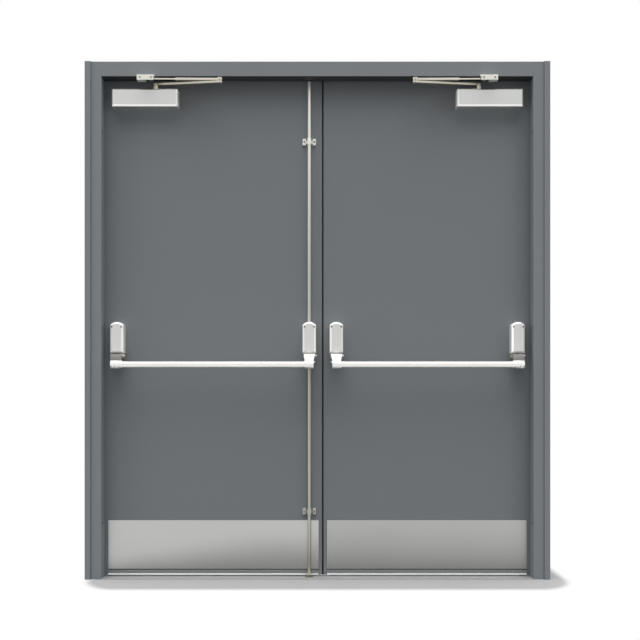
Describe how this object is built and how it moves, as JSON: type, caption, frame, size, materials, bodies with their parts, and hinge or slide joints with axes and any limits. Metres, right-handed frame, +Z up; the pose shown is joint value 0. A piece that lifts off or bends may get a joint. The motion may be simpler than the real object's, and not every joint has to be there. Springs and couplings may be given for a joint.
{
  "type": "double steel utility door with push bars",
  "caption": "Double steel utility door in a folded steel frame, with push bars that draw vertical bolts, kick plates and overhead closers.",
  "frame": {"origin": "under the threshold plate, midway between the jambs, in the plane of the leaves' push face", "axes": "+X to the right along the wall seen from the push side, +Y from the push side to the pull side, +Z up"},
  "size_m": [1.89, 0.1835, 2.105],
  "materials": {
    "frame_paint": "grey powder coat",
    "leaf_paint": "grey powder coat",
    "core_board": "honeycomb board",
    "threshold_steel": "grey",
    "hinge_steel": "grey powder coat",
    "kick_steel": "satin stainless",
    "carrier_paint": "grey anodised",
    "brush_fibre": "pale brush",
    "closer_silver": "silver paint",
    "cover_silver": "silver paint",
    "bar_bright": "bright metal",
    "arm_bright": "bright metal",
    "arm_steel": "satin metal",
    "rod_steel": "satin metal"
  },
  "bodies": {
    "frame": {"left_jamb": "frame_paint", "right_jamb": "frame_paint", "frame_head": "frame_paint", "threshold_plate": "threshold_steel", "left_frame_hinges": "hinge_steel", "right_frame_hinges": "hinge_steel", "left_closer_shoe": "arm_steel", "right_closer_shoe": "arm_steel", "bolt_keeps": "arm_steel"},
    "left_leaf": {"left_push_skin": "leaf_paint", "left_leaf_core": "core_board", "left_pull_skin": "leaf_paint", "left_leaf_hinges": "hinge_steel", "left_kick_plate": "kick_steel", "left_seal_carrier": "carrier_paint", "left_seal_brush": "brush_fibre", "left_closer_body": "closer_silver", "left_hinge_side_bracket": "arm_steel", "left_hinge_side_cover": "cover_silver", "left_lock_side_bracket": "arm_steel", "left_lock_side_cover": "cover_silver", "rod_guides": "arm_steel"},
    "right_leaf": {"right_push_skin": "leaf_paint", "right_leaf_core": "core_board", "right_pull_skin": "leaf_paint", "right_leaf_hinges": "hinge_steel", "right_kick_plate": "kick_steel", "right_seal_carrier": "carrier_paint", "right_seal_brush": "brush_fibre", "right_closer_body": "closer_silver", "right_hinge_side_bracket": "arm_steel", "right_hinge_side_cover": "cover_silver", "right_lock_side_bracket": "arm_steel", "right_lock_side_cover": "cover_silver"},
    "left_bar": {"left_push_bar": "bar_bright", "left_hinge_side_arm": "arm_bright", "left_lock_side_arm": "arm_bright"},
    "left_main_arm": {"left_closer_main_arm": "arm_steel"},
    "left_forearm": {"left_closer_forearm": "arm_steel"},
    "right_bar": {"right_push_bar": "bar_bright", "right_hinge_side_arm": "arm_bright", "right_lock_side_arm": "arm_bright"},
    "right_main_arm": {"right_closer_main_arm": "arm_steel"},
    "right_forearm": {"right_closer_forearm": "arm_steel"},
    "top_rod": {"top_bolt_rod": "rod_steel"},
    "bottom_rod": {"bottom_bolt_rod": "rod_steel"}
  },
  "joints": [
    {"name": "left_leaf_swing", "type": "hinge", "parent": "frame", "child": "left_leaf", "pos_m": [-0.896, 0.058, 0], "axis": [0, 0, 1], "range_deg": [0, 100], "stiffness_Nm_per_rad": 8, "springref_deg": -68.75},
    {"name": "right_leaf_swing", "type": "hinge", "parent": "frame", "child": "right_leaf", "pos_m": [0.896, 0.058, 0], "axis": [0, 0, -1], "range_deg": [0, 100], "stiffness_Nm_per_rad": 8, "springref_deg": -68.75},
    {"name": "left_bar_push", "type": "hinge", "parent": "left_leaf", "child": "left_bar", "pos_m": [-0.4268, -0.036, 0.911], "axis": [1, 0, 0], "range_deg": [0, 25], "stiffness_Nm_per_rad": 8, "springref_deg": -25.78},
    {"name": "right_bar_push", "type": "hinge", "parent": "right_leaf", "child": "right_bar", "pos_m": [0.4488, -0.036, 0.911], "axis": [1, 0, 0], "range_deg": [0, 25], "stiffness_Nm_per_rad": 8, "springref_deg": -25.78},
    {"name": "left_main_arm_turn", "type": "hinge", "parent": "left_leaf", "child": "left_main_arm", "pos_m": [-0.662, -0.027, 2.021], "axis": [0, 0, -1], "range_deg": [0, 110]},
    {"name": "left_forearm_turn", "type": "hinge", "parent": "frame", "child": "left_forearm", "pos_m": [-0.675, -0.07, 2.0315], "axis": [0, 0, 1], "range_deg": [0, 80]},
    {"name": "right_main_arm_turn", "type": "hinge", "parent": "right_leaf", "child": "right_main_arm", "pos_m": [0.662, -0.027, 2.021], "axis": [0, 0, 1], "range_deg": [0, 110]},
    {"name": "right_forearm_turn", "type": "hinge", "parent": "frame", "child": "right_forearm", "pos_m": [0.675, -0.07, 2.0315], "axis": [0, 0, -1], "range_deg": [0, 80]},
    {"name": "top_rod_draw", "type": "slide", "parent": "left_leaf", "child": "top_rod", "axis": [0, 0, -1], "range_m": [0, 0.012]},
    {"name": "bottom_rod_draw", "type": "slide", "parent": "left_leaf", "child": "bottom_rod", "axis": [0, 0, 1], "range_m": [0, 0.012]}
  ],
  "couplings": [
    {"joint": "left_main_arm_turn", "follows": "left_leaf_swing", "ratio": 1.0861},
    {"joint": "left_forearm_turn", "follows": "left_leaf_swing", "ratio": 0.7808},
    {"joint": "right_main_arm_turn", "follows": "right_leaf_swing", "ratio": 1.0861},
    {"joint": "right_forearm_turn", "follows": "right_leaf_swing", "ratio": 0.7808},
    {"joint": "top_rod_draw", "follows": "left_bar_push", "m_per_rad": 0.0275},
    {"joint": "bottom_rod_draw", "follows": "left_bar_push", "m_per_rad": 0.0275}
  ]
}
